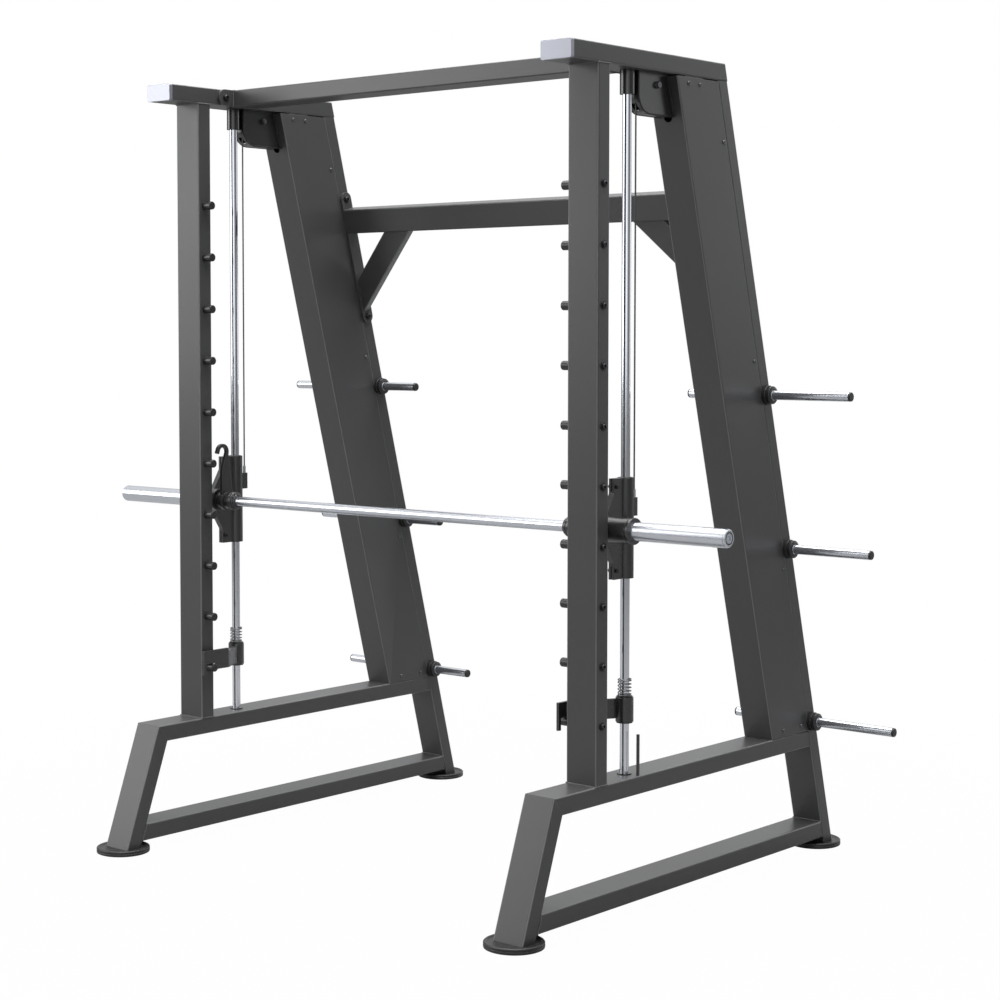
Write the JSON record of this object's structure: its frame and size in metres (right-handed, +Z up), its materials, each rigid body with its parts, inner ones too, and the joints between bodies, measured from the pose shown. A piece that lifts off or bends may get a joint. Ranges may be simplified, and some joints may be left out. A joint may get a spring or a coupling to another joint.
{
  "type": "smith machine",
  "caption": "Smith machine: barbell on two upright guide rods in a steel frame, with lock hooks and pegs, safety stops, counterweights in leaning columns and plate storage pegs.",
  "frame": {"origin": "on the floor, under the middle of the bounding box", "axes": "+Z up, +X towards the machine's right-hand end seen from the front, -Y towards the front, where the uprights are"},
  "size_m": [2.334, 1.617, 2.32],
  "materials": {
    "frame_paint": "satin",
    "cover_paint": "satin",
    "black_paint": "satin",
    "polished_steel": "polished",
    "dark_bolts": "satin",
    "dark_steel": "satin",
    "bright_steel": "satin",
    "silver_cap": "satin",
    "black_rubber": "matte",
    "black_nylon": "matte",
    "cable_wire": "satin",
    "weight_steel": "matte",
    "bearing_steel": "satin",
    "bronze": "satin"
  },
  "bodies": {
    "frame": {"front_uprights": "frame_paint", "top_beams": "frame_paint", "beam_end_caps": "silver_cap", "rear_posts": "frame_paint", "base_front_legs": "frame_paint", "base_top_rails": "frame_paint", "base_bottom_rails": "frame_paint", "foot_pads": "black_rubber", "base_pin": "black_paint", "top_crossbeam": "frame_paint", "joint_plates": "frame_paint", "rear_crossbeam": "frame_paint", "rear_braces": "frame_paint", "frame_bolts": "dark_bolts", "guide_rods": "polished_steel", "rod_holders": "black_paint", "lock_pegs": "dark_steel", "lock_peg_bolts": "dark_bolts", "column_covers": "cover_paint", "cover_tabs": "cover_paint", "cover_screws": "dark_bolts", "pulley_guards": "black_paint", "rear_pulley_brackets": "black_paint", "pulley_axles": "dark_bolts", "cable_over_pulleys": "cable_wire", "storage_pegs": "polished_steel", "storage_peg_bosses": "black_nylon", "storage_peg_caps": "black_nylon"},
    "carriages": {"carriage_right": "black_paint", "carriage_left": "black_paint", "carriage_screws": "dark_bolts", "carriage_bearings": "bearing_steel", "bar_bushes": "bronze", "cable_anchors": "bright_steel", "cable_front_runs": "cable_wire"},
    "bar": {"bar_shaft": "polished_steel", "bar_sleeves": "polished_steel", "bar_collars": "black_paint", "sleeve_end_plugs": "polished_steel", "lock_hooks": "black_paint"},
    "front_pulley_right": {"front_pulley_right": "black_nylon"},
    "rear_pulley_right": {"rear_pulley_right": "black_nylon"},
    "counterweight_right": {"counterweight_right": "weight_steel", "counterweight_shoes_right": "black_nylon", "counterweight_tie_right": "bright_steel", "cable_rear_run_right": "cable_wire"},
    "stop_right": {"stop_bush_right": "black_nylon", "stop_spring_right": "bright_steel"},
    "stop_arm_right": {"stop_arm_right": "black_paint"},
    "front_pulley_left": {"front_pulley_left": "black_nylon"},
    "rear_pulley_left": {"rear_pulley_left": "black_nylon"},
    "counterweight_left": {"counterweight_left": "weight_steel", "counterweight_shoes_left": "black_nylon", "counterweight_tie_left": "bright_steel", "cable_rear_run_left": "cable_wire"},
    "stop_left": {"stop_bush_left": "black_nylon", "stop_spring_left": "bright_steel"},
    "stop_arm_left": {"stop_arm_left": "black_paint"}
  },
  "joints": [
    {"name": "lift", "type": "slide", "parent": "frame", "child": "carriages", "axis": [0, 0, 1], "range_m": [-0.273, 1], "deforming": ["cable_front_runs"]},
    {"name": "bar_turn", "type": "hinge", "parent": "carriages", "child": "bar", "pos_m": [0, -0.35972, 1.0474], "axis": [1, 0, 0], "range_deg": [-20, 18]},
    {"name": "front_pulley_turn_right", "type": "hinge", "parent": "frame", "child": "front_pulley_right", "pos_m": [0.765, -0.14772, 2.238], "axis": [1, 0, 0], "range_deg": [-820, 225]},
    {"name": "rear_pulley_turn_right", "type": "hinge", "parent": "frame", "child": "rear_pulley_right", "pos_m": [0.765, -0.01458, 2.225], "axis": [1, 0, 0], "range_deg": [-1593, 436]},
    {"name": "counterweight_slide_right", "type": "slide", "parent": "frame", "child": "counterweight_right", "axis": [0, 0.2588, -0.9659], "range_m": [-0.274, 1.001], "deforming": ["cable_rear_run_right"]},
    {"name": "stop_slide_right", "type": "slide", "parent": "frame", "child": "stop_right", "axis": [0, 0, 1], "range_m": [0, 0.085]},
    {"name": "stop_swing_right", "type": "hinge", "parent": "stop_right", "child": "stop_arm_right", "pos_m": [0.765, -0.25732, 0.55], "axis": [0, 0, -1], "range_deg": [0, 40]},
    {"name": "front_pulley_turn_left", "type": "hinge", "parent": "frame", "child": "front_pulley_left", "pos_m": [-0.765, -0.14772, 2.238], "axis": [1, 0, 0], "range_deg": [-820, 225]},
    {"name": "rear_pulley_turn_left", "type": "hinge", "parent": "frame", "child": "rear_pulley_left", "pos_m": [-0.765, -0.01458, 2.225], "axis": [1, 0, 0], "range_deg": [-1593, 436]},
    {"name": "counterweight_slide_left", "type": "slide", "parent": "frame", "child": "counterweight_left", "axis": [0, 0.2588, -0.9659], "range_m": [-0.274, 1.001], "deforming": ["cable_rear_run_left"]},
    {"name": "stop_slide_left", "type": "slide", "parent": "frame", "child": "stop_left", "axis": [0, 0, 1], "range_m": [0, 0.085]},
    {"name": "stop_swing_left", "type": "hinge", "parent": "stop_left", "child": "stop_arm_left", "pos_m": [-0.765, -0.25732, 0.55], "axis": [0, 0, 1], "range_deg": [0, 40]}
  ],
  "couplings": [
    {"joint": "front_pulley_turn_right", "follows": "lift", "rad_per_m": -14.286},
    {"joint": "rear_pulley_turn_right", "follows": "lift", "rad_per_m": -27.778},
    {"joint": "counterweight_slide_right", "follows": "lift", "ratio": 1},
    {"joint": "front_pulley_turn_left", "follows": "lift", "rad_per_m": -14.286},
    {"joint": "rear_pulley_turn_left", "follows": "lift", "rad_per_m": -27.778},
    {"joint": "counterweight_slide_left", "follows": "lift", "ratio": 1}
  ]
}
